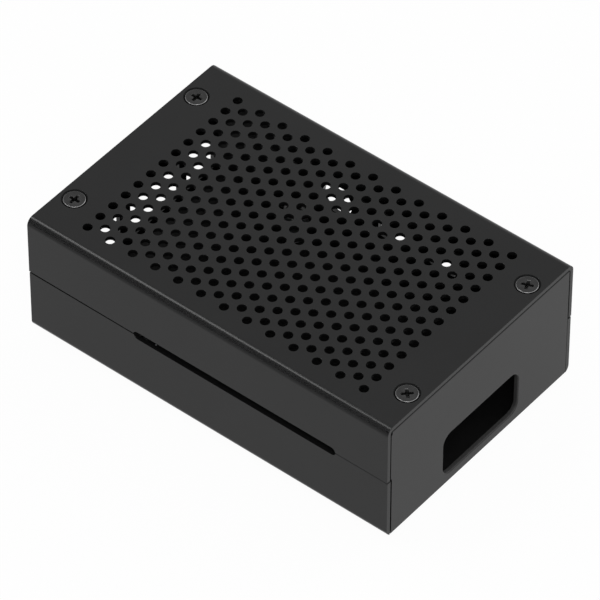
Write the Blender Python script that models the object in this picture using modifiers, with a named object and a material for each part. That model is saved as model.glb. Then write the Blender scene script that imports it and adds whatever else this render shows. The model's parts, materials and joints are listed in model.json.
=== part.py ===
"""Folded sheet metal case for a credit-card-size single board computer.

The case stands on its feet with +Z up and its origin at the middle of the area it stands on.
+X is the end with the memory card opening, -Y is the long side with the ribbon cable slot,
-X is the end with the socket windows and +Y is the long side with the plug openings.
"""

import math

import bmesh
import bpy
from mathutils import Matrix, Vector

MM = 0.001

# Case outline
LENGTH = 94.0 * MM
WIDTH = 60.4 * MM
CASE_HEIGHT = 31.2 * MM

# Sheet and folds, radii on the outer side
SHEET = 1.0 * MM
BEND_RADIUS = 1.8 * MM
BEND_STEPS = 5
END_FOLD_RADIUS = 0.4 * MM
END_FOLD_STEPS = 2

# Gap left between two pieces that touch
SEAT_GAP = 0.3 * MM

# Line where the cover meets the tray, above the underside of the tray
PARTING_HEIGHT = 16.0 * MM
PARTING_GAP = 0.4 * MM
TRAY_STEP_IN = 0.15 * MM

# Vents of the cover, in a staggered field
VENT_DIAMETER = 2.1 * MM
VENT_STEP_X = 3.0 * MM
VENT_STEP_Y = 2.0 * MM
VENT_END_MARGIN = 11.0 * MM
VENT_SIDE_MARGIN = 6.2 * MM
VENT_SIDES = 7

# Corner slits that free the end panels from the long walls, wider on the near side
NEAR_SLIT_WIDTH = 0.4 * MM
FAR_SLIT_WIDTH = 0.15 * MM
SLIT_DEPTH = 1.3 * MM
END_STRIP_LENGTH = 3.0 * MM
CORNER_STEPS = 3

# Tabs that take the cover screws
TAB_LENGTH = 7.4 * MM
TAB_CORNER_RADIUS = 3.0 * MM
SCREW_END_INSET = 3.6 * MM
SCREW_SPACING_Y = 39.0 * MM

# Flat head screws of the cover
SCREW_SIZE = 2.5 * MM
HEAD_DIAMETER = 4.75 * MM
HEAD_EDGE = 0.15 * MM
SCREW_LENGTH = 6.0 * MM
SCREW_SUNK = 0.05 * MM
COUNTERSINK_DIAMETER = 5.6 * MM
POINT_CHAMFER = 0.3 * MM

# Cross recess of every screw
RECESS_SPAN = 2.6 * MM
RECESS_SLOT = 0.62 * MM
RECESS_DEPTH = 1.0 * MM
RECESS_TAPER = 0.45

# Press nuts under the tabs
NUT_DIAMETER = 4.6 * MM
NUT_HEIGHT = 1.5 * MM
COLLAR_DIAMETER = 3.8 * MM
COLLAR_SUNK = 0.15 * MM

# Board that the case is made for, and its place in it
BOARD_INSET_X = 6.4 * MM
BOARD_INSET_Y = 2.2 * MM
BOARD_HOLE_INSET = 3.5 * MM
BOARD_HOLES_X = 58.0 * MM
BOARD_THICKNESS = 1.4 * MM
BOARD_TOP_BELOW_PARTING = 6.6 * MM

# Press-in standoffs
STANDOFF_DIAMETER = 5.5 * MM
SPIGOT_DIAMETER = 4.2 * MM
SPIGOT_SUNK = 0.1 * MM

# Pan head screws of the board
BOARD_SCREW_HEAD = 5.0 * MM
BOARD_SCREW_HEAD_HEIGHT = 1.8 * MM
BOARD_SCREW_LENGTH = 5.0 * MM
DOME_SHAPE = ((0.0, 1.0), (0.66, 0.93), (1.0, 0.42), (1.0, 0.0))

# Ribbon cable slot, half in the cover and half in the tray
RIBBON_SLOT_LENGTH = 52.7 * MM
RIBBON_SLOT_HEIGHT = 2.2 * MM
RIBBON_SLOT_RADIUS = 1.0 * MM
RIBBON_SLOT_FROM_CARD_EDGE = 33.2 * MM

# Memory card opening
CARD_OPENING_WIDTH = 24.5 * MM
CARD_OPENING_HEIGHT = 11.5 * MM
CARD_OPENING_SILL = 2.5 * MM
CARD_OPENING_OFFSET_Y = 0.45 * MM
CARD_OPENING_RADIUS = 2.5 * MM

# Socket windows: centre along Y and width of each
WINDOW_PLACES = ((-10.7 * MM, 16.0 * MM), (8.65 * MM, 15.9 * MM), (23.45 * MM, 9.1 * MM))
WINDOW_SILL = 2.7 * MM
WINDOW_HEIGHT = 10.6 * MM
WINDOW_RADIUS = 0.8 * MM

# Plug openings, places measured from the card edge of the board
PLUG_FROM_CARD_EDGE = (11.2 * MM, 26.0 * MM, 39.5 * MM)
PLUG_WIDTHS = (10.0 * MM, 7.0 * MM, 7.0 * MM)
PLUG_HEIGHT = 3.8 * MM
PLUG_BELOW_BOARD_TOP = 0.1 * MM
PLUG_RADIUS = 0.9 * MM
JACK_FROM_CARD_EDGE = 54.0 * MM
JACK_ABOVE_BOARD_TOP = 3.0 * MM
JACK_DIAMETER = 7.8 * MM

# Stick-on feet
FOOT_DIAMETER = 9.0 * MM
FOOT_HEIGHT = 1.5 * MM
FOOT_INSET_X = 8.0 * MM
FOOT_INSET_Y = 13.7 * MM
FOOT_EDGE = 0.4 * MM

# Facets of round pieces
FINE_SIDES = 16
SMALL_SIDES = 12
HOLE_SIDES = 12
JACK_STEPS = 5

# Distances that follow from the sizes above
UNDERSIDE = FOOT_HEIGHT + SEAT_GAP
TOP = UNDERSIDE + CASE_HEIGHT
FLOOR_TOP = UNDERSIDE + SHEET
TRAY_HALF_WIDTH = WIDTH / 2 - TRAY_STEP_IN
WALL_TOP = UNDERSIDE + PARTING_HEIGHT - PARTING_GAP / 2
FLANGE_BOTTOM = UNDERSIDE + PARTING_HEIGHT + PARTING_GAP / 2
WALL_INNER_Y = TRAY_HALF_WIDTH - SHEET
PANEL_NEAR_Y = -WALL_INNER_Y + NEAR_SLIT_WIDTH
PANEL_FAR_Y = WALL_INNER_Y - FAR_SLIT_WIDTH
TAB_TOP = TOP - SHEET - SEAT_GAP
TAB_BOTTOM = TAB_TOP - SHEET
SCREW_X = LENGTH / 2 - SCREW_END_INSET
CARD_EDGE_X = LENGTH / 2 - BOARD_INSET_X
BOARD_HOLE_Y = WIDTH / 2 - BOARD_INSET_Y - BOARD_HOLE_INSET
BOARD_TOP = UNDERSIDE + PARTING_HEIGHT - BOARD_TOP_BELOW_PARTING
STANDOFF_TOP = BOARD_TOP - BOARD_THICKNESS
STANDOFF_HEIGHT = STANDOFF_TOP - FLOOR_TOP
BORE_RADIUS = SCREW_SIZE / 2 + SEAT_GAP
COLLAR_HOLE_RADIUS = COLLAR_DIAMETER / 2 + SEAT_GAP
SPIGOT_HOLE_RADIUS = SPIGOT_DIAMETER / 2 + SEAT_GAP
CUT_OVERRUN = 2.0 * MM
MERGE = 0.00001


def clear_scene():
    """Remove whatever the open file holds."""
    for item in list(bpy.data.objects):
        bpy.data.objects.remove(item, do_unlink=True)


def make_collection(name):
    """Return a new collection linked to the scene."""
    collection = bpy.data.collections.new(name)
    bpy.context.scene.collection.children.link(collection)
    return collection


def make_material(name, color, roughness, metallic):
    """Return a Principled material."""
    material = bpy.data.materials.new(name)
    material.use_nodes = True
    shader = material.node_tree.nodes["Principled BSDF"]
    shader.inputs["Base Color"].default_value = (*color, 1.0)
    shader.inputs["Roughness"].default_value = roughness
    shader.inputs["Metallic"].default_value = metallic
    return material


def add_object(name, mesh, collection, material=None):
    """Link a mesh to a collection as a named object."""
    item = bpy.data.objects.new(name, mesh)
    collection.objects.link(item)
    if material:
        mesh.materials.append(material)
    return item


def mesh_from(bm, name):
    """Turn a bmesh into a mesh and free it."""
    mesh = bpy.data.meshes.new(name)
    bm.to_mesh(mesh)
    bm.free()
    return mesh


def rounded_outline(width, height, radius, steps=CORNER_STEPS):
    """Points of a rounded rectangle about the origin, anticlockwise."""
    points = []
    for corner, (side_x, side_y) in enumerate(((1, 1), (-1, 1), (-1, -1), (1, -1))):
        middle = Vector((side_x * (width / 2 - radius), side_y * (height / 2 - radius)))
        for step in range(steps + 1):
            angle = math.pi / 2 * (corner + step / steps)
            points.append(middle + radius * Vector((math.cos(angle), math.sin(angle))))
    return [point for point, before in zip(points, points[-1:] + points) if (point - before).length > MERGE]


def outline_prism(name, outline, thickness):
    """Closed mesh of a flat outline, half its thickness to each side of z = 0."""
    curve = bpy.data.curves.new(name, "CURVE")
    curve.dimensions = "2D"
    curve.fill_mode = "BOTH"
    curve.extrude = thickness / 2
    spline = curve.splines.new("POLY")
    spline.points.add(len(outline) - 1)
    for point, place in zip(spline.points, outline):
        point.co = (place[0], place[1], 0.0, 1.0)
    spline.use_cyclic_u = True
    guide = bpy.data.objects.new(name, curve)
    bpy.context.scene.collection.objects.link(guide)
    graph = bpy.context.evaluated_depsgraph_get()
    mesh = bpy.data.meshes.new_from_object(guide.evaluated_get(graph))
    bpy.data.objects.remove(guide, do_unlink=True)
    bpy.data.curves.remove(curve)
    bm = bmesh.new()
    bm.from_mesh(mesh)
    bmesh.ops.remove_doubles(bm, verts=bm.verts, dist=MERGE)
    bmesh.ops.recalc_face_normals(bm, faces=bm.faces)
    bm.to_mesh(mesh)
    bm.free()
    mesh.shade_flat()
    return mesh


def add_cutter(name, mesh, cutters):
    """Link a mesh as a hidden cutting tool."""
    cutter = add_object(name, mesh, cutters)
    cutter.hide_render = True
    cutter.display_type = "WIRE"
    return cutter


def prism_cutter(name, outline, depth, place, turn, cutters):
    """Cutting tool of a flat outline, stood at a place and turned to face a wall."""
    cutter = add_cutter(name, outline_prism(name, outline, depth), cutters)
    cutter.matrix_world = Matrix.Translation(place) @ turn
    return cutter


def bore_cutter(name, places, radius_low, radius_high, low, high, sides, cutters):
    """Cutting tool of upright round bores, or cones where the radii differ."""
    bm = bmesh.new()
    turn = Matrix.Rotation(math.pi / sides, 4, "Z")
    for x, y in places:
        middle = Matrix.Translation((x, y, (low + high) / 2))
        bmesh.ops.create_cone(
            bm, cap_ends=True, segments=sides, radius1=radius_low, radius2=radius_high,
            depth=high - low, matrix=middle @ turn)
    return add_cutter(name, mesh_from(bm, name), cutters)


def combine(item, tool, operation):
    """Join an object with a tool by a Boolean operation."""
    modifier = item.modifiers.new(tool.name, "BOOLEAN")
    modifier.operation = operation
    modifier.solver = "EXACT"
    modifier.object = tool


def cut(item, cutter):
    """Take a cutting tool out of an object."""
    combine(item, cutter, "DIFFERENCE")


def channel_sheet(name, half_width, level, rim, collection, material):
    """Channel folded from sheet: flat at the level, with both long sides rolled round to the rim."""
    bm = bmesh.new()
    fold_y = half_width - BEND_RADIUS
    rise = math.copysign(1.0, rim - level)
    hinge_z = level + rise * BEND_RADIUS
    corners = [bm.verts.new((x, y, level)) for x, y in (
        (-LENGTH / 2, -fold_y), (LENGTH / 2, -fold_y), (LENGTH / 2, fold_y), (-LENGTH / 2, fold_y))]
    bm.faces.new(corners)
    for side, (first, second) in ((-1, (0, 1)), (1, (2, 3))):
        edge = bm.edges.get((corners[first], corners[second]))
        result = bmesh.ops.spin(
            bm, geom=[edge, *edge.verts], cent=(0.0, side * fold_y, hinge_z), axis=(1, 0, 0),
            angle=side * rise * math.pi / 2, steps=BEND_STEPS)
        rolled = [part for part in result["geom_last"] if isinstance(part, bmesh.types.BMEdge)]
        drawn = bmesh.ops.extrude_edge_only(bm, edges=rolled)
        ends = [part for part in drawn["geom"] if isinstance(part, bmesh.types.BMVert)]
        bmesh.ops.translate(bm, verts=ends, vec=(0.0, 0.0, rim - hinge_z))

    bmesh.ops.recalc_face_normals(bm, faces=bm.faces)
    bm.faces.ensure_lookup_table()
    if bm.faces[0].normal.z * rise > 0:
        bmesh.ops.reverse_faces(bm, faces=bm.faces)
    item = add_object(name, mesh_from(bm, name), collection, material)
    thicken = item.modifiers.new("Sheet", "SOLIDIFY")
    thicken.thickness = SHEET
    thicken.offset = -1.0
    thicken.use_even_offset = True
    return item


def turned_mesh(name, profile, ring):
    """Profile mesh for a Screw modifier, at +X and running down its outer side."""
    bm = bmesh.new()
    points = [bm.verts.new((radius, 0.0, height)) for radius, height in profile]
    for first, second in zip(points, points[1:]):
        bm.edges.new((first, second))
    if ring:
        bm.edges.new((points[-1], points[0]))
    return mesh_from(bm, name)


def turned_object(name, profile, sides, place, collection, material, ring=False):
    """Object turned about the upright axis through its place."""
    item = add_object(name, turned_mesh(name, profile, ring), collection, material)
    item.location = place
    lathe = item.modifiers.new("Turn", "SCREW")
    lathe.steps = sides
    lathe.render_steps = sides
    lathe.use_merge_vertices = True
    lathe.merge_threshold = MERGE
    lathe.use_smooth_shade = True
    return item


def corner_places(reach_x, reach_y):
    """Four places mirrored about both middle planes."""
    return [(side_x * reach_x, side_y * reach_y) for side_x in (-1, 1) for side_y in (-1, 1)]


def vent_places():
    """Centres of the vents: every second point of a grid, so that the rows are staggered."""
    steps_x = int((LENGTH - 2 * VENT_END_MARGIN) / VENT_STEP_X + 0.5)
    steps_y = int((WIDTH - 2 * VENT_SIDE_MARGIN) / VENT_STEP_Y + 0.5)
    places = []
    for column in range(steps_x + 1):
        for row in range(column % 2, steps_y + 1, 2):
            x = (column - steps_x / 2) * VENT_STEP_X
            y = (row - steps_y / 2) * VENT_STEP_Y
            places.append((x, y))
    return places


def ribbon_slot_cutter(cutters):
    """Long slot with round ends, centred on the parting line of the near side."""
    outline = rounded_outline(RIBBON_SLOT_LENGTH, RIBBON_SLOT_HEIGHT, RIBBON_SLOT_RADIUS)
    place = (CARD_EDGE_X - RIBBON_SLOT_FROM_CARD_EDGE, -WIDTH / 2, UNDERSIDE + PARTING_HEIGHT)
    facing = Matrix.Rotation(math.pi / 2, 4, "X")
    return prism_cutter("ribbon_slot", outline, 2 * CUT_OVERRUN + SHEET, place, facing, cutters)


def make_top_cover(parts, cutters, paint):
    """Perforated top with both long flanges folded down."""
    cover = channel_sheet("top_cover", WIDTH / 2, TOP, FLANGE_BOTTOM, parts, paint)
    vent_radius = VENT_DIAMETER / 2
    low = TOP - SHEET - CUT_OVERRUN
    high = TOP + CUT_OVERRUN
    cut(cover, bore_cutter("vents", vent_places(), vent_radius, vent_radius, low, high,
                           VENT_SIDES, cutters))

    sink_low = TOP - SHEET - SEAT_GAP
    sink_high = TOP + SEAT_GAP
    radius_low = COUNTERSINK_DIAMETER / 2 - (TOP - sink_low)
    radius_high = COUNTERSINK_DIAMETER / 2 + (sink_high - TOP)
    places = corner_places(SCREW_X, SCREW_SPACING_Y / 2)
    cut(cover, bore_cutter("countersinks", places, radius_low, radius_high, sink_low, sink_high,
                           FINE_SIDES, cutters))
    cut(cover, bpy.data.objects["ribbon_slot"])
    return cover


def end_section(side):
    """Section of a tray end in X and Z: a strip of the floor, the upright panel and the tab."""
    outer = LENGTH / 2
    strip = outer - END_STRIP_LENGTH
    tip = outer - TAB_LENGTH
    inner = outer - SHEET
    points = [(strip, FLOOR_TOP), (strip, UNDERSIDE)]
    for start, middle_z in ((-math.pi / 2, UNDERSIDE + END_FOLD_RADIUS), (0.0, TAB_TOP - END_FOLD_RADIUS)):
        for step in range(END_FOLD_STEPS + 1):
            angle = start + math.pi / 2 * step / END_FOLD_STEPS
            x = outer - END_FOLD_RADIUS * (1 - math.cos(angle))
            points.append((x, middle_z + END_FOLD_RADIUS * math.sin(angle)))
    points += [(tip, TAB_TOP), (tip, TAB_BOTTOM), (inner, TAB_BOTTOM), (inner, FLOOR_TOP)]
    return [(side * x, z) for x, z in points]


def tray_end(name, side, cutters):
    """Full-height end of the tray, between the long walls, its tab with round corners."""
    middle_y = (PANEL_NEAR_Y + PANEL_FAR_Y) / 2
    width = PANEL_FAR_Y - PANEL_NEAR_Y
    upright = Matrix.Rotation(math.pi / 2, 4, "X")
    section = prism_cutter(
        name, end_section(side), width + 2 * CUT_OVERRUN, (0.0, middle_y, 0.0), upright, cutters)

    length = TAB_LENGTH + 2 * TAB_CORNER_RADIUS
    outline = rounded_outline(length, width, TAB_CORNER_RADIUS)
    place = (side * (LENGTH / 2 - TAB_LENGTH + length / 2), middle_y, (UNDERSIDE + TAB_TOP) / 2)
    height = TAB_TOP - UNDERSIDE + 2 * CUT_OVERRUN
    plan = prism_cutter(f"{name}_plan", outline, height, place, Matrix.Identity(4), cutters)
    combine(section, plan, "INTERSECT")
    return section


def slit_cutter(cutters):
    """Cutting tool that clears the floor between the long walls at both ends."""
    bm = bmesh.new()
    height = BEND_RADIUS + CUT_OVERRUN
    for side in (-1, 1):
        place = (side * (LENGTH / 2 - SLIT_DEPTH + CUT_OVERRUN), 0.0, UNDERSIDE + BEND_RADIUS - height / 2)
        size = Matrix.Diagonal((2 * CUT_OVERRUN, 2 * WALL_INNER_Y, height, 1.0))
        bmesh.ops.create_cube(bm, size=1.0, matrix=Matrix.Translation(place) @ size)
    return add_cutter("corner_slits", mesh_from(bm, "corner_slits"), cutters)


def make_tray_sheet(parts, cutters, paint):
    """Floor, long walls and full-height ends of the tray."""
    tray = channel_sheet("bottom_tray", TRAY_HALF_WIDTH, UNDERSIDE, WALL_TOP, parts, paint)
    cut(tray, slit_cutter(cutters))
    combine(tray, tray_end("card_end", 1, cutters), "UNION")
    combine(tray, tray_end("socket_end", -1, cutters), "UNION")
    return tray


def cut_end_openings(tray, cutters):
    """Card opening at +X and socket windows at -X."""
    depth = 2 * CUT_OVERRUN + SHEET
    facing = Matrix.Rotation(math.pi / 2, 4, "Z") @ Matrix.Rotation(math.pi / 2, 4, "X")
    outline = rounded_outline(CARD_OPENING_WIDTH, CARD_OPENING_HEIGHT, CARD_OPENING_RADIUS)
    height = UNDERSIDE + CARD_OPENING_SILL + CARD_OPENING_HEIGHT / 2
    place = (LENGTH / 2 - SHEET / 2, CARD_OPENING_OFFSET_Y, height)
    cut(tray, prism_cutter("card_opening", outline, depth, place, facing, cutters))

    height = UNDERSIDE + WINDOW_SILL + WINDOW_HEIGHT / 2
    for number, (middle, width) in enumerate(WINDOW_PLACES, 1):
        outline = rounded_outline(width, WINDOW_HEIGHT, WINDOW_RADIUS)
        place = (-LENGTH / 2 + SHEET / 2, middle, height)
        cut(tray, prism_cutter(f"window_{number}", outline, depth, place, facing, cutters))


def cut_side_openings(tray, cutters):
    """Plug openings and the round jack hole at +Y."""
    depth = 2 * CUT_OVERRUN + SHEET
    facing = Matrix.Rotation(math.pi / 2, 4, "X")
    wall_y = TRAY_HALF_WIDTH - SHEET / 2
    height = BOARD_TOP - PLUG_BELOW_BOARD_TOP + PLUG_HEIGHT / 2
    for number, (distance, width) in enumerate(zip(PLUG_FROM_CARD_EDGE, PLUG_WIDTHS), 1):
        outline = rounded_outline(width, PLUG_HEIGHT, PLUG_RADIUS)
        place = (CARD_EDGE_X - distance, wall_y, height)
        cut(tray, prism_cutter(f"plug_{number}", outline, depth, place, facing, cutters))

    outline = rounded_outline(JACK_DIAMETER, JACK_DIAMETER, JACK_DIAMETER / 2, JACK_STEPS)
    place = (CARD_EDGE_X - JACK_FROM_CARD_EDGE, wall_y, BOARD_TOP + JACK_ABOVE_BOARD_TOP)
    cut(tray, prism_cutter("jack_hole", outline, depth, place, facing, cutters))


def standoff_places():
    """Board hole centres in plan."""
    right = CARD_EDGE_X - BOARD_HOLE_INSET
    return [(x, side * BOARD_HOLE_Y) for x in (right - BOARD_HOLES_X, right) for side in (-1, 1)]


def make_bottom_tray(parts, cutters, paint):
    """Tray with all its openings and press-in holes."""
    tray = make_tray_sheet(parts, cutters, paint)
    cut_end_openings(tray, cutters)
    cut_side_openings(tray, cutters)
    cut(tray, bpy.data.objects["ribbon_slot"])
    cut(tray, bore_cutter(
        "nut_holes", corner_places(SCREW_X, SCREW_SPACING_Y / 2), COLLAR_HOLE_RADIUS,
        COLLAR_HOLE_RADIUS, TAB_BOTTOM - SEAT_GAP, TAB_TOP + SEAT_GAP, HOLE_SIDES, cutters))
    cut(tray, bore_cutter(
        "standoff_holes", standoff_places(), SPIGOT_HOLE_RADIUS, SPIGOT_HOLE_RADIUS,
        UNDERSIDE - SEAT_GAP, FLOOR_TOP + SEAT_GAP, HOLE_SIDES, cutters))
    return tray


def recess_cutter(name, place, cutters):
    """Tapered cross for a screwdriver, with its mouth at the place."""
    span = RECESS_SPAN / 2
    half = RECESS_SLOT / 2
    quarter = ((span, -half), (span, half), (half, half))
    outline = []
    for turn in range(4):
        spin = Matrix.Rotation(turn * math.pi / 2, 2)
        outline += [spin @ Vector(point) for point in quarter]
    mesh = outline_prism(name, outline, 2 * RECESS_DEPTH)
    for corner in mesh.vertices:
        if corner.co.z < 0:
            corner.co.x *= RECESS_TAPER
            corner.co.y *= RECESS_TAPER
    cutter = add_cutter(name, mesh, cutters)
    cutter.location = place
    return cutter


def make_cover_screws(parts, cutters, steel):
    """Flat head screws that hold the cover down on the tabs."""
    head = HEAD_DIAMETER / 2
    shank = SCREW_SIZE / 2
    profile = (
        (0.0, 0.0),
        (head, 0.0),
        (head, -HEAD_EDGE),
        (shank, -HEAD_EDGE - (head - shank)),
        (shank, -SCREW_LENGTH + POINT_CHAMFER),
        (shank - POINT_CHAMFER, -SCREW_LENGTH),
        (0.0, -SCREW_LENGTH),
    )
    height = TOP - SCREW_SUNK
    for number, (x, y) in enumerate(corner_places(SCREW_X, SCREW_SPACING_Y / 2), 1):
        place = (x, y, height)
        screw = turned_object(f"cover_screw_{number}", profile, FINE_SIDES, place, parts, steel)
        cut(screw, recess_cutter(f"cover_recess_{number}", place, cutters))


def make_cover_nuts(parts, steel):
    """Press nuts under the tabs, each with its collar in the tab."""
    rim = NUT_DIAMETER / 2
    collar = COLLAR_DIAMETER / 2
    collar_top = TAB_TOP - COLLAR_SUNK
    seat = TAB_BOTTOM - SEAT_GAP
    profile = (
        (collar, collar_top - seat),
        (collar, 0.0),
        (rim, 0.0),
        (rim, -NUT_HEIGHT),
        (BORE_RADIUS, -NUT_HEIGHT),
        (BORE_RADIUS, collar_top - seat),
    )
    for number, (x, y) in enumerate(corner_places(SCREW_X, SCREW_SPACING_Y / 2), 1):
        turned_object(f"cover_nut_{number}", profile, SMALL_SIDES, (x, y, seat), parts, steel, True)


def make_board_standoffs(parts, brass):
    """Standoffs pressed into the floor, open right through."""
    body = STANDOFF_DIAMETER / 2
    spigot = SPIGOT_DIAMETER / 2
    foot = UNDERSIDE + SPIGOT_SUNK - FLOOR_TOP
    profile = (
        (body, STANDOFF_HEIGHT),
        (body, SEAT_GAP),
        (spigot, SEAT_GAP),
        (spigot, foot),
        (BORE_RADIUS, foot),
        (BORE_RADIUS, STANDOFF_HEIGHT),
    )
    for number, (x, y) in enumerate(standoff_places(), 1):
        place = (x, y, FLOOR_TOP)
        turned_object(f"board_standoff_{number}", profile, SMALL_SIDES, place, parts, brass, True)


def make_board_screws(parts, cutters, steel):
    """Pan head screws, driven home in the standoffs."""
    head = BOARD_SCREW_HEAD / 2
    shank = SCREW_SIZE / 2
    rise = BOARD_SCREW_HEAD_HEIGHT
    dome = [(head * across, rise * up) for across, up in DOME_SHAPE]
    profile = dome + [
        (shank, 0.0),
        (shank, -BOARD_SCREW_LENGTH + POINT_CHAMFER),
        (shank - POINT_CHAMFER, -BOARD_SCREW_LENGTH),
        (0.0, -BOARD_SCREW_LENGTH),
    ]
    height = STANDOFF_TOP + SEAT_GAP
    for number, (x, y) in enumerate(standoff_places(), 1):
        screw = turned_object(
            f"board_screw_{number}", profile, SMALL_SIDES, (x, y, height), parts, steel)
        mouth = (x, y, height + rise)
        cut(screw, recess_cutter(f"board_recess_{number}", mouth, cutters))


def make_feet(parts, rubber):
    """Stick-on feet under the floor."""
    radius = FOOT_DIAMETER / 2
    profile = (
        (0.0, FOOT_HEIGHT),
        (radius, FOOT_HEIGHT),
        (radius, FOOT_EDGE),
        (radius - FOOT_EDGE, 0.0),
        (0.0, 0.0),
    )
    places = corner_places(LENGTH / 2 - FOOT_INSET_X, WIDTH / 2 - FOOT_INSET_Y)
    for number, (x, y) in enumerate(places, 1):
        turned_object(f"foot_{number}", profile, FINE_SIDES, (x, y, 0.0), parts, rubber)


def main():
    """Build the case."""
    clear_scene()
    parts = make_collection("computer_case")
    cutters = make_collection("cutters")
    paint = make_material("black_powder_coat", (0.030, 0.030, 0.032), 0.45, 0.0)
    steel = make_material("black_steel", (0.035, 0.035, 0.037), 0.35, 1.0)
    zinc = make_material("zinc_plate", (0.62, 0.63, 0.65), 0.3, 1.0)
    rubber = make_material("black_rubber", (0.02, 0.02, 0.02), 0.8, 0.0)
    ribbon_slot_cutter(cutters)
    make_top_cover(parts, cutters, paint)
    make_bottom_tray(parts, cutters, paint)
    make_cover_screws(parts, cutters, steel)
    make_cover_nuts(parts, zinc)
    make_board_standoffs(parts, zinc)
    make_board_screws(parts, cutters, steel)
    make_feet(parts, rubber)


main()
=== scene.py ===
"""Looks of the folded sheet metal case: fine sheets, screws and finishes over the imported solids."""

import json
import math

import bmesh
import bpy
from mathutils import Matrix, Vector


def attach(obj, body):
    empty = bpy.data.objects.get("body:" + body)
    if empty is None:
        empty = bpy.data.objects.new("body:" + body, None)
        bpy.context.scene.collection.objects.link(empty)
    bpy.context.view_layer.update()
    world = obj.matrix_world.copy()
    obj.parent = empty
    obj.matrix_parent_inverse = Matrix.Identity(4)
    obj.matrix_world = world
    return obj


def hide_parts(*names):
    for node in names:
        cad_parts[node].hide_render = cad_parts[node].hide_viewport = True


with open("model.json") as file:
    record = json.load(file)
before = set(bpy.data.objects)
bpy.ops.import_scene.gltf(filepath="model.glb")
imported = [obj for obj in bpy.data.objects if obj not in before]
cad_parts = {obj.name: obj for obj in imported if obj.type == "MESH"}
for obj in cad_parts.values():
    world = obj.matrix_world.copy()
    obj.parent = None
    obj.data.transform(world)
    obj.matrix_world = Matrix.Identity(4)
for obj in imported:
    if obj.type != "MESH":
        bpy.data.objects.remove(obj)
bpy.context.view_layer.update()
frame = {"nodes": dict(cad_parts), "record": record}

MM = 0.001

# Case outline, the same as in the solids
LENGTH = 94.0 * MM
WIDTH = 60.4 * MM
CASE_HEIGHT = 31.2 * MM
SHEET = 1.0 * MM
BEND_RADIUS = 1.8 * MM
SEAT_GAP = 0.3 * MM
PARTING_HEIGHT = 16.0 * MM
TRAY_STEP_IN = 0.15 * MM
FOOT_HEIGHT = 1.5 * MM

# Folds and gaps that follow the photograph more closely than the solids do
END_FOLD_RADIUS = 0.35 * MM
TAB_GAP = 0.18 * MM
CHEEK_GAP = 0.25 * MM
FAR_SLIT_WIDTH = 0.12 * MM
PARTING_GAP = 0.42 * MM
PARTING_TAPER = 0.13 * MM

# Steps in each rounded stretch, and how far the edges are rounded
BEND_STEPS = 12
CORNER_STEPS = 10
END_FOLD_STEPS = 6
EDGE_STEPS = 2
EDGE_ROUND = 0.08 * MM
CARD_EDGE_STEPS = 3
CARD_EDGE_ROUND = 0.3 * MM
SCREW_EDGE_ROUND = 0.07 * MM

# Angles in degrees: faces that count as one, and edges sharp enough to be rounded
SAME_PLANE = 0.5
SHARP_EDGE = 32
SHARP_SOLID_EDGE = 40

# Blender's values for an edge rounded to an arc, and for shading that follows the widest faces
ARC_PROFILE = 0.5
WIDEST_FACES = 100

# Places of the coats on a folded sheet: plain, painted shade, and a painted highlight
PLAIN_COAT = 0
PAINTED_SHADE_COAT = 1
PAINTED_HIGHLIGHT_COAT = 2

# Depths below a sheet's outer face that tell its cut edges, vent walls and inner face
EDGE_FROM = 0.05 * SHEET
EDGE_TO = 0.95 * SHEET
VENT_WALL_FROM = 0.2 * SHEET
INNER_FACE_FROM = 0.9 * SHEET

# Vents
VENT_DIAMETER = 2.1 * MM
VENT_STEP_X = 3.0 * MM
VENT_STEP_Y = 2.0 * MM
VENT_COLUMNS = 25
VENT_ROWS = 25
VENT_SIDES = 28

# Ends of the tray: corner slits, the strip of floor that each end keeps, and its tab
NEAR_SLIT_WIDTH = 0.4 * MM
SLIT_DEPTH = 1.3 * MM
END_STRIP_LENGTH = 3.0 * MM
TAB_LENGTH = 7.4 * MM
TAB_CORNER_RADIUS = 3.0 * MM

# Screws of the cover
SCREW_END_INSET = 3.6 * MM
SCREW_X = LENGTH / 2 - SCREW_END_INSET
SCREW_Y = 19.5 * MM
SCREW_SIZE = 2.5 * MM
SCREW_LENGTH = 6.0 * MM
POINT_CHAMFER = 0.3 * MM
SCREW_SUNK = 0.05 * MM
SCREW_SIDES = 64
HEAD_DIAMETER = 4.75 * MM
HEAD_EDGE = 0.15 * MM
COUNTERSINK_DIAMETER = 5.6 * MM

# The head's top: a shallow dish inside a flat ring, with a rounded rim
DISH_DEPTH = 0.02 * MM
DISH_FROM_RIM = 0.55 * MM
RING_FROM_RIM = 0.30 * MM
RIM_STEPS = 5

# The cross recess: reach and half width of an arm, and how each screw happens to be turned, in degrees
RECESS_REACH = 1.38 * MM
RECESS_SLOT = 0.37 * MM
RECESS_FILLET = 0.22 * MM
RECESS_FILLET_STEPS = 4
RECESS_TAPER = 0.7
RECESS_DEPTH = 1.4 * MM
RECESS_OVERRUN = 0.1 * MM
RECESS_TURNS = (0, 4, 45, 22)

# Lips of the cross, painted light as highlights: heights over which the painted highlight sets in and
# fades, its reach from the axis, its share
LIP_TOP = (-0.035 * MM, -0.055 * MM)
LIP_FOOT = (-0.26 * MM, -0.18 * MM)
LIP_REACH = (1.55 * MM, 1.45 * MM)
LIP_HIGHLIGHT = 0.6

# Gloss of the coats, against the usual 0.5; the lower gloss dims the reflections of the painted shade coat
COAT_GLOSS = 0.22
PAINTED_SHADE_GLOSS = 0.08

# Surroundings: the room is dimmer as a light than it looks, and the table is dimmer in gloss
ROOM_FILL = 0.45
TABLE_SIZE = 6.0
TABLE_GAP = 0.02 * MM
TABLE_SHOWN = 0.965
TABLE_IN_GLOSS = 0.72

# Flag: X of its sides, and Y and Z of its top and bottom edges
FLAG_SIDES = (-1.9, 0.10)
FLAG_TOP = (-0.37, 1.12)
FLAG_BOTTOM = (-1.30, 0.05)
FLAG_CUTS = 4

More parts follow.
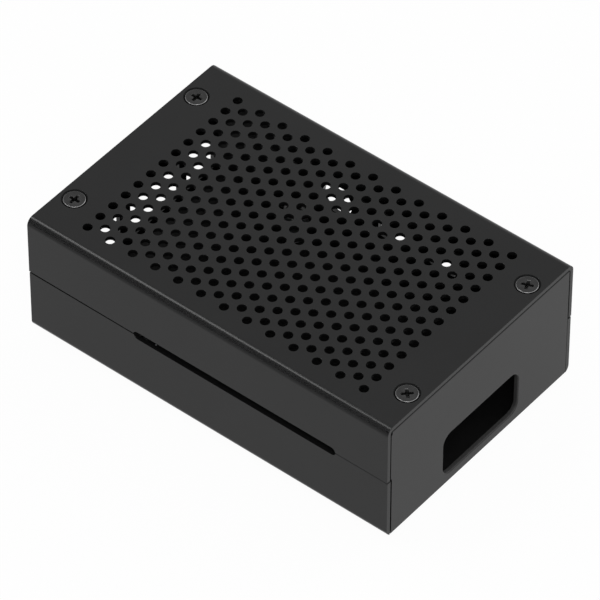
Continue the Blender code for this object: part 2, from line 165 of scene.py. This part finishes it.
# Lamps: name, place, width, depth and watts
LAMPS_AIM = (0.0, 0.0, 0.02)
LAMPS = (
    ("strip_overhead", (-0.62, -0.27, 1.27), 0.9, 0.2, 4.6),
    ("soft_key", (0.66, -0.81, 1.09), 0.5, 0.5, 5.0),
    ("soft_back", (0.5, 1.4, 1.3), 1.2, 1.2, 8.0),
)

# Camera, fitted to the photograph: place in metres, turns in degrees, lens and sensor in millimetres
CAMERA_PLACE = (0.54961, -0.67702, 0.90469)
CAMERA_TURNS = (44.4569, -0.0304, 39.0908)
CAMERA_LENS = 364.4
CAMERA_SENSOR = 36.0
CAMERA_REACH = (0.05, 50.0)

# Heights that follow
UNDERSIDE = FOOT_HEIGHT + SEAT_GAP
TOP = UNDERSIDE + CASE_HEIGHT
FLOOR_TOP = UNDERSIDE + SHEET
TRAY_HALF_WIDTH = WIDTH / 2 - TRAY_STEP_IN
WALL_TOP = UNDERSIDE + PARTING_HEIGHT - PARTING_GAP / 2
FLANGE_BOTTOM = UNDERSIDE + PARTING_HEIGHT + PARTING_GAP / 2
WALL_INNER_Y = TRAY_HALF_WIDTH - SHEET
PANEL_NEAR_Y = -WALL_INNER_Y + NEAR_SLIT_WIDTH
PANEL_FAR_Y = WALL_INNER_Y - FAR_SLIT_WIDTH
TAB_TOP = TOP - SHEET - TAB_GAP
TAB_BOTTOM = TAB_TOP - SHEET

# How far cutting tools run past what they cut, and how close points count as one
CUT_OVERRUN = 2.0 * MM
BORE_OVERRUN = 0.3 * MM
MERGE = 0.005 * MM

# Openings, seen square on to their wall: middle along it, middle up, width, height and corner radius
RIBBON_SLOT = (7.4 * MM, UNDERSIDE + PARTING_HEIGHT, 52.7 * MM, 2.2 * MM, 1.09 * MM)
CARD_OPENING = (0.45 * MM, UNDERSIDE + 8.25 * MM, 24.5 * MM, 11.5 * MM, 2.5 * MM)
WINDOW_MIDDLE = UNDERSIDE + 8.0 * MM
WINDOWS = (
    (-10.7 * MM, WINDOW_MIDDLE, 16.0 * MM, 10.6 * MM, 0.8 * MM),
    (8.65 * MM, WINDOW_MIDDLE, 15.9 * MM, 10.6 * MM, 0.8 * MM),
    (23.45 * MM, WINDOW_MIDDLE, 9.1 * MM, 10.6 * MM, 0.8 * MM),
)

# Plug openings, the last one for the jack and all but round
PLUG_MIDDLE = UNDERSIDE + 11.2 * MM
PLUGS = (
    (29.4 * MM, PLUG_MIDDLE, 10.0 * MM, 3.8 * MM, 0.9 * MM),
    (14.6 * MM, PLUG_MIDDLE, 7.0 * MM, 3.8 * MM, 0.9 * MM),
    (1.1 * MM, PLUG_MIDDLE, 7.0 * MM, 3.8 * MM, 0.9 * MM),
    (-13.4 * MM, UNDERSIDE + 12.4 * MM, 7.8 * MM, 7.8 * MM, 3.899 * MM),
)

# Round holes in the tray
STANDOFF_PLACES = [(x, y) for x in (-20.9 * MM, 37.1 * MM) for y in (-24.5 * MM, 24.5 * MM)]
STANDOFF_HOLE_RADIUS = 2.4 * MM
NUT_HOLE_RADIUS = 2.2 * MM


class Value:
    """One output of a finish's nodes, which can be added, multiplied or raised to a power."""

    def __init__(self, finish, socket):
        self.finish = finish
        self.socket = socket

    def reckon(self, operation, first, second):
        """Work out a value from two by a Math node."""
        return self.finish.node("Math", {"operation": operation}, {0: first, 1: second})

    def __add__(self, other):
        return self.reckon("ADD", self, other)

    def __radd__(self, other):
        return self.reckon("ADD", other, self)

    def __mul__(self, other):
        return self.reckon("MULTIPLY", self, other)

    def __rmul__(self, other):
        return self.reckon("MULTIPLY", other, self)

    def __pow__(self, other):
        return self.reckon("POWER", self, other)


class Finish:
    """The nodes of a material, or of the room around the case."""

    def __init__(self, owner):
        owner.use_nodes = True
        self.owner = owner
        self.tree = owner.node_tree
        self.tree.nodes.clear()

    def node(self, kind, settings, sockets, output=0):
        """Add a node: its settings first, then the values or links of its sockets."""
        made = self.tree.nodes.new("ShaderNode" + kind)
        for name, value in settings.items():
            setattr(made, name, value)
        for name, value in sockets.items():
            if isinstance(value, Value):
                self.tree.links.new(value.socket, made.inputs[name])
            else:
                made.inputs[name].default_value = value
        return Value(self, made.outputs[output]) if made.outputs else None

    def place(self):
        """Point of the surface in metres."""
        return self.node("TexCoord", {}, {}, "Object")

    def noise(self, scale, detail, roughness):
        """Cloudy value about 0.5, of about one cloud to each 1 / scale metres."""
        return self.node("TexNoise", {}, {
            "Vector": self.place(), "Scale": scale, "Detail": detail, "Roughness": roughness})

    def between(self, value, low, high):
        """Value scaled from 0 at low to 1 at high, and held there."""
        return self.node("MapRange", {"clamp": True}, {"Value": value, "From Min": low, "From Max": high})

    def blend(self, factor, first, second):
        """Colour mixed from two."""
        return self.node("Mix", {"data_type": "RGBA"}, {0: factor, 6: first, 7: second}, 2)

    def bump(self, height, depth, strength):
        """Fine relief of the surface."""
        return self.node("Bump", {}, {"Strength": strength, "Distance": depth, "Height": height})

    def seen_directly(self, in_gloss=1.0):
        """1 for what the camera shows, a share for gloss and clear glass, 0 for what lights a surface."""
        camera, gloss, glass = (
            self.node("LightPath", {}, {}, f"Is {ray} Ray") for ray in ("Camera", "Glossy", "Transmission"))
        return self.between(camera + (gloss + glass) * in_gloss, 0.0, 1.0)

    def surface(self, sockets):
        """Finish the material with a plain shader."""
        return self.output(self.node("BsdfPrincipled", {}, sockets))

    def output(self, shader, kind="OutputMaterial"):
        """Send a shader to the surface."""
        self.node(kind, {}, {"Surface": shader})
        return self.owner


def grey(level, warmth=0.0):
    """Colour close to grey, a little blue below zero warmth."""
    return (level * (1 + warmth), level, level * (1 - warmth), 1.0)


def powder_coat():
    """Black powder coat: a fine orange peel with a satin sheen."""
    finish = Finish(bpy.data.materials.new("black_powder_coat"))
    peel = finish.noise(1500.0, 2.0, 0.55)
    grain = finish.noise(5200.0, 1.0, 0.5)
    cloud = finish.noise(45.0, 3.0, 0.6)
    tone = finish.blend(
        finish.between(cloud * 0.7 + grain * 0.3, 0.3, 0.7), grey(0.0050, -0.02), grey(0.0078, -0.02))
    sheen = 0.16 + 0.06 * cloud + 0.05 * grain
    relief = finish.bump(peel * 0.75 + grain * 0.25, 0.010 * MM, 0.5)
    return finish.surface({
        "Base Color": tone, "Roughness": sheen, "Specular IOR Level": COAT_GLOSS, "Normal": relief})


def painted_shade_coat():
    """The same coat made rougher, with painted shade: darker and less glossy inside, in vents, round screws
    and at the parting.
    """
    finish = Finish(bpy.data.materials.new("painted_shade_coat"))
    grain = finish.noise(3800.0, 2.0, 0.6)
    cloud = finish.noise(60.0, 3.0, 0.6)
    tone = finish.blend(finish.between(cloud, 0.3, 0.7), grey(0.0030, -0.02), grey(0.0052, -0.02))
    return finish.surface({
        "Base Color": tone, "Roughness": 0.48 + 0.12 * grain, "Specular IOR Level": PAINTED_SHADE_GLOSS,
        "Normal": finish.bump(grain, 0.015 * MM, 0.5)})


def painted_highlight_edge():
    """Cut edge of the card opening, painted a lighter grey as a highlight."""
    finish = Finish(bpy.data.materials.new("painted_highlight_edge"))
    grain = finish.noise(2600.0, 3.0, 0.6)
    tone = finish.blend(finish.between(grain, 0.3, 0.7), grey(0.028), grey(0.046))
    return finish.surface({
        "Base Color": tone, "Roughness": 0.38 + 0.14 * grain, "Specular IOR Level": COAT_GLOSS,
        "Normal": finish.bump(grain, 0.012 * MM, 0.5)})


def black_steel(name, painted_highlight_edges=False):
    """Black finished steel with fine turning marks; a cover screw gets painted highlights, light grey at
    its rim and cross.
    """
    finish = Finish(bpy.data.materials.new(name))
    grain = finish.noise(4200.0, 3.0, 0.6)
    patch = finish.noise(900.0, 2.0, 0.5)
    tone = finish.blend(patch, grey(0.024), grey(0.044))
    if painted_highlight_edges:
        x, y, z = (finish.node("SeparateXYZ", {}, {"Vector": finish.place()}, axis) for axis in range(3))
        radius = (x * x + y * y) ** 0.5
        head = HEAD_DIAMETER / 2
        rim = finish.between(radius, head - HEAD_EDGE, head - HEAD_EDGE / 2)
        lips = finish.between(z, *LIP_TOP) * finish.between(z, *LIP_FOOT)
        lips = lips * finish.between(radius, *LIP_REACH)
        # Rim and cross lips painted light grey: painted highlights
        tone = finish.blend(finish.between(rim + lips * LIP_HIGHLIGHT, 0.0, 1.0), tone, grey(0.26))
    relief = finish.bump(grain, 0.01 * MM, 0.6)
    return finish.surface({
        "Base Color": tone, "Metallic": 0.85, "Roughness": 0.20 + 0.16 * grain, "Normal": relief})


def zinc_plate():
    """Bright zinc plate, a little cloudy."""
    finish = Finish(bpy.data.materials.new("zinc_plated_steel"))
    grain = finish.noise(3000.0, 3.0, 0.6)
    cloud = finish.noise(500.0, 2.0, 0.5)
    tone = finish.blend(cloud, grey(0.53, -0.02), grey(0.69, -0.01))
    return finish.surface({
        "Base Color": tone, "Metallic": 1.0, "Roughness": 0.24 + 0.16 * grain,
        "Normal": finish.bump(grain, 0.01 * MM, 0.5)})


def foot_rubber():
    """Matt black rubber with a moulded grain."""
    finish = Finish(bpy.data.materials.new("black_foot_rubber"))
    grain = finish.noise(2600.0, 2.0, 0.6)
    dust = finish.noise(260.0, 3.0, 0.6)
    tone = finish.blend(finish.between(dust, 0.35, 0.75), grey(0.016), grey(0.028, 0.02))
    return finish.surface({
        "Base Color": tone, "Roughness": 0.66 + 0.16 * grain, "Normal": finish.bump(grain, 0.03 * MM, 0.6)})


def white_table():
    """White table that keeps a faint shadow, and is clear from below."""
    finish = Finish(bpy.data.materials.new("white_table"))
    lit = finish.node("BsdfDiffuse", {}, {"Color": grey(0.86)})
    bright = finish.node("Emission", {}, {"Color": grey(1.0), "Strength": 1.0})
    share = finish.seen_directly(TABLE_IN_GLOSS) * TABLE_SHOWN
    upper = finish.node("MixShader", {}, {0: share, 1: lit, 2: bright})
    clear = finish.node("BsdfTransparent", {}, {})
    from_below = finish.node("NewGeometry", {}, {}, "Backfacing")
    return finish.output(finish.node("MixShader", {}, {0: from_below, 1: upper, 2: clear}))


def pale_cloth():
    """Pale cloth of the studio flag."""
    finish = Finish(bpy.data.materials.new("pale_cloth"))
    tone = finish.blend(finish.noise(30.0, 2.0, 0.5), grey(0.90), grey(0.96))
    return finish.output(finish.node("BsdfDiffuse", {}, {"Color": tone}))


def make_room():
    """White surroundings, dimmer as a light than they look."""
    world = bpy.data.worlds.new("studio")
    bpy.context.scene.world = world
    room = Finish(world)
    fill = room.node("Background", {}, {"Color": grey(1.0), "Strength": ROOM_FILL})
    backdrop = room.node("Background", {}, {"Color": grey(1.0), "Strength": 1.0})
    room.output(room.node("MixShader", {}, {0: room.seen_directly(), 1: fill, 2: backdrop}), "OutputWorld")


def add_object(name, mesh, material=None):
    """Link a mesh to the scene as a named object."""
    item = bpy.data.objects.new(name, mesh)
    bpy.context.scene.collection.objects.link(item)
    if material:
        mesh.materials.append(material)
    return item


def mesh_from(bm, name):
    """Turn a bmesh into a mesh and free it."""
    mesh = bpy.data.meshes.new(name)
    bm.to_mesh(mesh)
    bm.free()
    return mesh


def rounded_outline(width, height, radius):
    """Points of a rounded rectangle about the origin, anticlockwise."""
    points = []
    for corner, (side_x, side_y) in enumerate(((1, 1), (-1, 1), (-1, -1), (1, -1))):
        middle = Vector((side_x * (width / 2 - radius), side_y * (height / 2 - radius)))
        for step in range(CORNER_STEPS + 1):
            angle = math.pi / 2 * (corner + step / CORNER_STEPS)
            points.append(middle + radius * Vector((math.cos(angle), math.sin(angle))))
    return points


def prism(name, outline, depth, taper=1.0):
    """Closed prism of an outline, half its depth to each side, narrowed below by the taper."""
    bm = bmesh.new()
    upper = [bm.verts.new((x, y, depth / 2)) for x, y in outline]
    lower = [bm.verts.new((x * taper, y * taper, -depth / 2)) for x, y in outline]
    bm.faces.new(upper)
    bm.faces.new(lower[::-1])
    for index, corner in enumerate(upper):
        following = (index + 1) % len(upper)
        bm.faces.new((corner, lower[index], lower[following], upper[following]))
    return add_object(name, mesh_from(bm, name))


def wall_cutters(name, openings, plane, facing):
    """Cutting tools for openings in a wall; facing stands them square on to it."""
    made = []
    for number, (along, up, width, height, radius) in enumerate(openings, 1):
        cutter = prism(f"{name}_{number}", rounded_outline(width, height, radius), 2 * CUT_OVERRUN + SHEET)
        place = (along, plane, up) if facing == "y" else (plane, along, up)
        turn = Matrix.Rotation(math.pi / 2, 4, "X")
        if facing == "x":
            turn = Matrix.Rotation(math.pi / 2, 4, "Z") @ turn
        cutter.matrix_world = Matrix.Translation(place) @ turn
        made.append(cutter)
    return made


def bore_cutter(name, places, radius_low, radius_high, low, high, sides):
    """Cutting tool of upright round bores or cones."""
    bm = bmesh.new()
    for x, y in places:
        middle = Matrix.Translation((x, y, (low + high) / 2))
        bmesh.ops.create_cone(
            bm, cap_ends=True, segments=sides, radius1=radius_low, radius2=radius_high,
            depth=high - low, matrix=middle)
    return add_object(name, mesh_from(bm, name))


def combine(item, tool, operation):
    """Join an object with a tool by a Boolean operation."""
    step = item.modifiers.new(tool.name, "BOOLEAN")
    step.operation = operation
    step.solver = "EXACT"
    step.object = tool


def round_edges(item, width, sharp):
    """Round the edges of an object that are sharper than an angle in degrees."""
    edges = item.modifiers.new("Edges", "BEVEL")
    edges.width = width
    edges.segments = EDGE_STEPS
    edges.limit_method = "ANGLE"
    edges.angle_limit = math.radians(sharp)


def settle(item, cutters, others=(), coats=(), pick_coat=None, is_rounded=None, rounding=EDGE_ROUND):
    """Make the cuts for good, drop all tools, pick each face's coat, round the edges and shade smooth."""
    for cutter in cutters:
        combine(item, cutter, "DIFFERENCE")
    graph = bpy.context.evaluated_depsgraph_get()
    carved = bpy.data.meshes.new_from_object(item.evaluated_get(graph))
    item.modifiers.clear()
    item.data = carved
    for tool in (*cutters, *others):
        bpy.data.objects.remove(tool, do_unlink=True)
    bm = bmesh.new()
    bm.from_mesh(carved)
    if coats:
        bmesh.ops.dissolve_limit(bm, angle_limit=math.radians(SAME_PLANE), verts=bm.verts, edges=bm.edges)
    if is_rounded:
        edges = [edge for edge in bm.edges if all(is_rounded(corner.co) for corner in edge.verts)]
        bmesh.ops.bevel(
            bm, geom=edges, offset=CARD_EDGE_ROUND, segments=CARD_EDGE_STEPS, profile=ARC_PROFILE,
            affect="EDGES")
    if coats:
        for face in bm.faces:
            face.material_index = pick_coat(face.calc_center_median())
    bm.to_mesh(carved)
    bm.free()
    for coat in coats:
        carved.materials.append(coat)
    carved.shade_smooth()
    round_edges(item, rounding, SHARP_EDGE)
    weights = item.modifiers.new("Normals", "WEIGHTED_NORMAL")
    weights.weight = WIDEST_FACES
    weights.keep_sharp = True


def channel_sheet(name, half_width, level, rim, material):
    """Channel folded from sheet: flat at the level, with both long sides rolled round to the rim."""
    bm = bmesh.new()
    fold_y = half_width - BEND_RADIUS
    rise = math.copysign(1.0, rim - level)
    hinge_z = level + rise * BEND_RADIUS
    corners = [bm.verts.new((x, y, level)) for x, y in (
        (-LENGTH / 2, -fold_y), (LENGTH / 2, -fold_y), (LENGTH / 2, fold_y), (-LENGTH / 2, fold_y))]
    bm.faces.new(corners)
    for side, (first, second) in ((-1, (0, 1)), (1, (2, 3))):
        edge = bm.edges.get((corners[first], corners[second]))
        result = bmesh.ops.spin(
            bm, geom=[edge, *edge.verts], cent=(0.0, side * fold_y, hinge_z), axis=(1, 0, 0),
            angle=side * rise * math.pi / 2, steps=BEND_STEPS)
        rolled = [part for part in result["geom_last"] if isinstance(part, bmesh.types.BMEdge)]
        drawn = bmesh.ops.extrude_edge_only(bm, edges=rolled)
        ends = [part for part in drawn["geom"] if isinstance(part, bmesh.types.BMVert)]
        bmesh.ops.translate(bm, verts=ends, vec=(0.0, 0.0, rim - hinge_z))

    bmesh.ops.recalc_face_normals(bm, faces=bm.faces)
    bm.faces.ensure_lookup_table()
    if bm.faces[0].normal.z * rise > 0:
        bmesh.ops.reverse_faces(bm, faces=bm.faces)
    item = add_object(name, mesh_from(bm, name), material)
    thicken = item.modifiers.new("Sheet", "SOLIDIFY")
    thicken.thickness = SHEET
    thicken.offset = -1.0
    thicken.use_even_offset = True
    return item


def channel_depth(point, half_width, level, upward):
    """How deep a point lies under the outer face of a channel, bends included."""
    across = abs(point.y) - (half_width - BEND_RADIUS)
    down = (level - point.z) * upward
    if across > 0 and down < BEND_RADIUS:
        return BEND_RADIUS - math.hypot(across, BEND_RADIUS - down)
    return min(down, BEND_RADIUS - across)


def in_slot_edge(point, depth):
    """Tell whether a point lies on the ribbon slot's cut edge."""
    along, up, width, height, _ = RIBBON_SLOT
    inside = abs(point.x - along) < width / 2 + MERGE and abs(point.z - up) < height / 2 + MERGE
    return inside and point.y < 0 and EDGE_FROM < depth < EDGE_TO


def corner_places(reach_x, reach_y):
    """Four places mirrored about both middle planes."""
    return [(side_x * reach_x, side_y * reach_y) for side_x in (-1, 1) for side_y in (-1, 1)]


def vent_places():
    """Centres of the staggered vents."""
    places = []
    for column in range(VENT_COLUMNS):
        for row in range(column % 2, VENT_ROWS, 2):
            places.append((
                (column - (VENT_COLUMNS - 1) / 2) * VENT_STEP_X,
                (row - (VENT_ROWS - 1) / 2) * VENT_STEP_Y))
    return places


def make_cover(paint, coats):
    """Perforated cover with both long flanges."""
    cover = channel_sheet("perforated_cover", WIDTH / 2, TOP, FLANGE_BOTTOM, paint)
    for corner in cover.data.vertices:
        if abs(corner.co.z - FLANGE_BOTTOM) < MERGE:
            corner.co.z -= math.copysign(PARTING_TAPER, corner.co.x)
    low = TOP - SHEET - CUT_OVERRUN
    high = TOP + CUT_OVERRUN
    radius = VENT_DIAMETER / 2
    cutters = [bore_cutter("vents", vent_places(), radius, radius, low, high, VENT_SIDES)]
    sink_low = TOP - SHEET - BORE_OVERRUN
    sink_high = TOP + BORE_OVERRUN
    cutters.append(bore_cutter(
        "countersinks", corner_places(SCREW_X, SCREW_Y), COUNTERSINK_DIAMETER / 2 - (TOP - sink_low),
        COUNTERSINK_DIAMETER / 2 + (sink_high - TOP), sink_low, sink_high, SCREW_SIDES))
    cutters += wall_cutters("ribbon_slot", [RIBBON_SLOT], -WIDTH / 2, "y")

    def pick_coat(point):
        """Tell the inner faces, vent walls, countersinks and flange rims, which get the painted shade coat,
        from the faces outside.
        """
        depth = channel_depth(point, WIDTH / 2, TOP, 1)
        if in_slot_edge(point, depth) or point.z < FLANGE_BOTTOM + PARTING_TAPER + MERGE:
            return PAINTED_SHADE_COAT
        flat = abs(point.y) < WIDTH / 2 - BEND_RADIUS
        shade_from = VENT_WALL_FROM if flat else INNER_FACE_FROM
        is_inside = abs(point.x) < LENGTH / 2 - EDGE_ROUND and depth > shade_from
        return PAINTED_SHADE_COAT if is_inside else PLAIN_COAT

    settle(cover, cutters, coats=coats, pick_coat=pick_coat)
    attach(cover, "root")
    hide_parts("top_cover")


def end_section(side):
    """Section of a tray end in X and Z: strip of the floor, upright panel and tab, anticlockwise."""
    outer = LENGTH / 2
    strip = outer - END_STRIP_LENGTH
    tip = outer - TAB_LENGTH
    inner = outer - SHEET
    points = [(strip, FLOOR_TOP), (strip, UNDERSIDE)]
    for start, middle_z in ((-math.pi / 2, UNDERSIDE + END_FOLD_RADIUS), (0.0, TAB_TOP - END_FOLD_RADIUS)):
        for step in range(END_FOLD_STEPS + 1):
            angle = start + math.pi / 2 * step / END_FOLD_STEPS
            x = outer - END_FOLD_RADIUS * (1 - math.cos(angle))
            points.append((x, middle_z + END_FOLD_RADIUS * math.sin(angle)))
    points += [(tip, TAB_TOP), (tip, TAB_BOTTOM), (inner, TAB_BOTTOM), (inner, FLOOR_TOP)]
    return [(side * x, z) for x, z in points][::int(side)]


def tray_end(name, side):
    """Full-height end of the tray, between the long walls, its tab with round corners."""
    middle_y = (PANEL_NEAR_Y + PANEL_FAR_Y) / 2
    width = PANEL_FAR_Y - PANEL_NEAR_Y
    section = prism(name, end_section(side), width + 2 * CUT_OVERRUN)
    section.matrix_world = Matrix.Translation((0.0, middle_y, 0.0)) @ Matrix.Rotation(math.pi / 2, 4, "X")

    length = TAB_LENGTH + 2 * TAB_CORNER_RADIUS
    height = TAB_TOP - UNDERSIDE + 2 * CUT_OVERRUN
    plan = prism(f"{name}_plan", rounded_outline(length, width, TAB_CORNER_RADIUS), height)
    plan.location = (side * (LENGTH / 2 - TAB_LENGTH + length / 2), middle_y, (UNDERSIDE + TAB_TOP) / 2)
    combine(section, plan, "INTERSECT")
    return section, plan


def slit_cutter():
    """Cutting tool that clears the floor between the long walls at both ends."""
    bm = bmesh.new()
    height = BEND_RADIUS + CUT_OVERRUN
    for side in (-1, 1):
        place = (side * (LENGTH / 2 - SLIT_DEPTH + CUT_OVERRUN), 0.0, UNDERSIDE + BEND_RADIUS - height / 2)
        size = Matrix.Diagonal((2 * CUT_OVERRUN, 2 * WALL_INNER_Y, height, 1.0))
        bmesh.ops.create_cube(bm, size=1.0, matrix=Matrix.Translation(place) @ size)
    return add_object("corner_slits", mesh_from(bm, "corner_slits"))


def cheek(side):
    """Narrow strip that widens an end panel above the parting, at the near flange."""
    low = Vector((LENGTH / 2 - SHEET, -WIDTH / 2 + SHEET + CHEEK_GAP, FLANGE_BOTTOM))
    high = Vector((LENGTH / 2, PANEL_NEAR_Y + SHEET / 2, TAB_TOP - SHEET))
    middle = (low + high) / 2
    middle.x *= side
    bm = bmesh.new()
    size = Matrix.Diagonal((*(high - low), 1.0))
    bmesh.ops.create_cube(bm, size=1.0, matrix=Matrix.Translation(middle) @ size)
    return add_object("cheek", mesh_from(bm, "cheek"))


def make_tray(paint, coats):
    """Tray folded from one sheet, with all its openings."""
    tray = channel_sheet("folded_tray", TRAY_HALF_WIDTH, UNDERSIDE, WALL_TOP, paint)
    slits = slit_cutter()
    combine(tray, slits, "DIFFERENCE")
    tools = [slits]
    for name, side in (("card_end", 1), ("socket_end", -1)):
        section, plan = tray_end(name, side)
        strip = cheek(side)
        combine(tray, section, "UNION")
        combine(tray, strip, "UNION")
        tools += [section, plan, strip]

    wall_x = LENGTH / 2 - SHEET / 2
    wall_y = TRAY_HALF_WIDTH - SHEET / 2
    cutters = wall_cutters("card_opening", [CARD_OPENING], wall_x, "x")
    cutters += wall_cutters("window", WINDOWS, -wall_x, "x")
    cutters += wall_cutters("plug", PLUGS, wall_y, "y")
    cutters += wall_cutters("tray_slot", [RIBBON_SLOT], -WIDTH / 2, "y")
    cutters.append(bore_cutter(
        "nut_holes", corner_places(SCREW_X, SCREW_Y), NUT_HOLE_RADIUS, NUT_HOLE_RADIUS,
        TAB_BOTTOM - BORE_OVERRUN, TAB_TOP + BORE_OVERRUN, SCREW_SIDES))
    cutters.append(bore_cutter(
        "standoff_holes", STANDOFF_PLACES, STANDOFF_HOLE_RADIUS, STANDOFF_HOLE_RADIUS,
        UNDERSIDE - BORE_OVERRUN, FLOOR_TOP + BORE_OVERRUN, SCREW_SIDES))

    def in_card_opening(point, margin):
        """Tell whether a point lies within the card opening's outline, or a margin round it."""
        along, up, width, height, _ = CARD_OPENING
        return abs(point.y - along) < width / 2 + margin and abs(point.z - up) < height / 2 + margin

    def pick_coat(point):
        """Tell the inner faces and the wall rims, which get painted shade, and the card opening's cut edge,
        which gets a painted highlight, from the rest.
        """
        # The card opening's cut edge is painted lighter grey: a painted highlight
        if EDGE_FROM < LENGTH / 2 - point.x < EDGE_TO and in_card_opening(point, CARD_EDGE_ROUND):
            return PAINTED_HIGHLIGHT_COAT
        depth = channel_depth(point, TRAY_HALF_WIDTH, UNDERSIDE, -1)
        if in_slot_edge(point, depth) or abs(point.z - WALL_TOP) < MERGE:
            return PAINTED_SHADE_COAT
        is_inside = min(depth, LENGTH / 2 - abs(point.x), TAB_TOP - point.z) > INNER_FACE_FROM
        return PAINTED_SHADE_COAT if is_inside else PLAIN_COAT

    def is_rounded(point):
        """Tell the outer edge of the card opening."""
        return in_card_opening(point, MERGE) and abs(point.x - LENGTH / 2) < MERGE

    settle(tray, cutters, tools, coats, pick_coat, is_rounded)
    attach(tray, "root")
    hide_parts("bottom_tray")


def turned(name, profile, sides):
    """Mesh turned about the upright axis, from a profile that runs down its outer side."""
    bm = bmesh.new()
    rings = []
    for radius, height in profile:
        if radius == 0.0:
            rings.append([bm.verts.new((0.0, 0.0, height))])
            continue
        ring = []
        for step in range(sides):
            angle = 2 * math.pi * step / sides
            ring.append(bm.verts.new((radius * math.cos(angle), radius * math.sin(angle), height)))
        rings.append(ring)
    for upper, lower in zip(rings, rings[1:]):
        for step in range(sides):
            following = (step + 1) % sides
            quad = (upper[step % len(upper)], lower[step % len(lower)],
                    lower[following % len(lower)], upper[following % len(upper)])
            bm.faces.new(list(dict.fromkeys(quad)))
    return mesh_from(bm, name)


def cross_outline():
    """Outline of the screwdriver cross with filleted inner corners."""
    points = []
    middle = RECESS_SLOT + RECESS_FILLET
    for quarter in range(4):
        spin = Matrix.Rotation(quarter * math.pi / 2, 2)
        arm = [Vector((RECESS_REACH, -RECESS_SLOT)), Vector((RECESS_REACH, RECESS_SLOT))]
        for step in range(RECESS_FILLET_STEPS + 1):
            angle = math.pi / 2 * step / RECESS_FILLET_STEPS
            arm.append(Vector((
                middle - RECESS_FILLET * math.sin(angle), middle - RECESS_FILLET * math.cos(angle))))
        points += [spin @ point for point in arm]
    return points


def make_cover_screws(steel):
    """Flat head screws with a turned edge and a tapered cross recess."""
    head = HEAD_DIAMETER / 2
    shank = SCREW_SIZE / 2
    rim = []
    for step in range(RIM_STEPS + 1):
        angle = math.pi / 2 * step / RIM_STEPS
        rim.append((head - HEAD_EDGE * (1 - math.sin(angle)), -HEAD_EDGE * (1 - math.cos(angle))))
    profile = (
        (0.0, -DISH_DEPTH),
        (head - DISH_FROM_RIM, -DISH_DEPTH),
        (head - RING_FROM_RIM, 0.0),
        *rim,
        (shank, -HEAD_EDGE - (head - shank)),
        (shank, -SCREW_LENGTH + POINT_CHAMFER),
        (shank - POINT_CHAMFER, -SCREW_LENGTH),
        (0.0, -SCREW_LENGTH),
    )
    for number, (x, y) in enumerate(corner_places(SCREW_X, SCREW_Y), 1):
        screw = add_object(f"flat_head_screw_{number}", turned("screw", profile, SCREW_SIDES), steel)
        recess = prism("recess", cross_outline(), RECESS_DEPTH, RECESS_TAPER)
        recess.location = (0.0, 0.0, RECESS_OVERRUN - RECESS_DEPTH / 2)
        recess.rotation_euler.z = math.radians(RECESS_TURNS[number - 1])
        settle(screw, [recess], rounding=SCREW_EDGE_ROUND)
        screw.location = (x, y, TOP - SCREW_SUNK)
        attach(screw, "root")
        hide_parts(f"cover_screw_{number}")


def finish_solids(finishes):
    """Give each solid its finish and a small rounding on its edges."""
    for part in frame["record"]["subparts"]:
        solid = frame["nodes"][part["node"]]
        solid.data.materials.clear()
        solid.data.materials.append(finishes[part["material_slot"]])
        join = solid.modifiers.new("Join", "WELD")
        join.merge_threshold = MERGE
        round_edges(solid, EDGE_ROUND, SHARP_SOLID_EDGE)
        solid.modifiers.new("Normals", "WEIGHTED_NORMAL")


def add_lamp(name, place, width, depth, power):
    """Soft lamp that faces the case."""
    data = bpy.data.lights.new(name, "AREA")
    data.shape = "RECTANGLE"
    data.size = width
    data.size_y = depth
    data.energy = power
    lamp = bpy.data.objects.new(name, data)
    bpy.context.scene.collection.objects.link(lamp)
    lamp.location = place
    lamp.rotation_euler = (Vector(LAMPS_AIM) - Vector(place)).to_track_quat("-Z", "Y").to_euler()


def make_flag(cloth):
    """Pale flag at the front left, which only gloss shows: in the near bend it is dimmer than the room."""
    left, right = FLAG_SIDES
    bm = bmesh.new()
    corners = [bm.verts.new(place) for place in (
        (left, *FLAG_TOP), (right, *FLAG_TOP), (right, *FLAG_BOTTOM), (left, *FLAG_BOTTOM))]
    bm.faces.new(corners)
    bmesh.ops.subdivide_edges(bm, edges=bm.edges, cuts=FLAG_CUTS, use_grid_fill=True)
    flag = add_object("flag", mesh_from(bm, "flag"), cloth)
    flag.visible_camera = False
    flag.visible_diffuse = False
    flag.visible_transmission = False
    flag.visible_shadow = False


def make_studio():
    """Table, lamps, surroundings and camera."""
    bm = bmesh.new()
    bmesh.ops.create_grid(bm, x_segments=1, y_segments=1, size=TABLE_SIZE)
    table = add_object("table", mesh_from(bm, "table"), white_table())
    table.location.z = -TABLE_GAP
    make_room()
    make_flag(pale_cloth())
    for lamp in LAMPS:
        add_lamp(*lamp)

    data = bpy.data.cameras.new("camera")
    data.sensor_width = CAMERA_SENSOR
    data.lens = CAMERA_LENS
    data.clip_start, data.clip_end = CAMERA_REACH
    camera = bpy.data.objects.new("camera", data)
    bpy.context.scene.collection.objects.link(camera)
    camera.location = CAMERA_PLACE
    camera.rotation_euler = [math.radians(turn) for turn in CAMERA_TURNS]
    bpy.context.scene.camera = camera
    bpy.context.scene.view_settings.view_transform = "Standard"


def main():
    """Dress the solids and set the studio."""
    finishes = {
        "powder_coat": powder_coat(),
        "black_steel": black_steel("black_screw_steel"),
        "zinc_plate": zinc_plate(),
        "rubber": foot_rubber(),
    }
    finish_solids(finishes)
    # The painted shade coat: darker and less glossy where shade falls inside the case and between parts
    shade_coat = painted_shade_coat()
    make_cover(finishes["powder_coat"], [shade_coat])
    make_tray(finishes["powder_coat"], [shade_coat, painted_highlight_edge()])
    # Cover screws with painted highlights at the rim and cross
    make_cover_screws(black_steel("highlit_screw_steel", painted_highlight_edges=True))
    make_studio()


main()
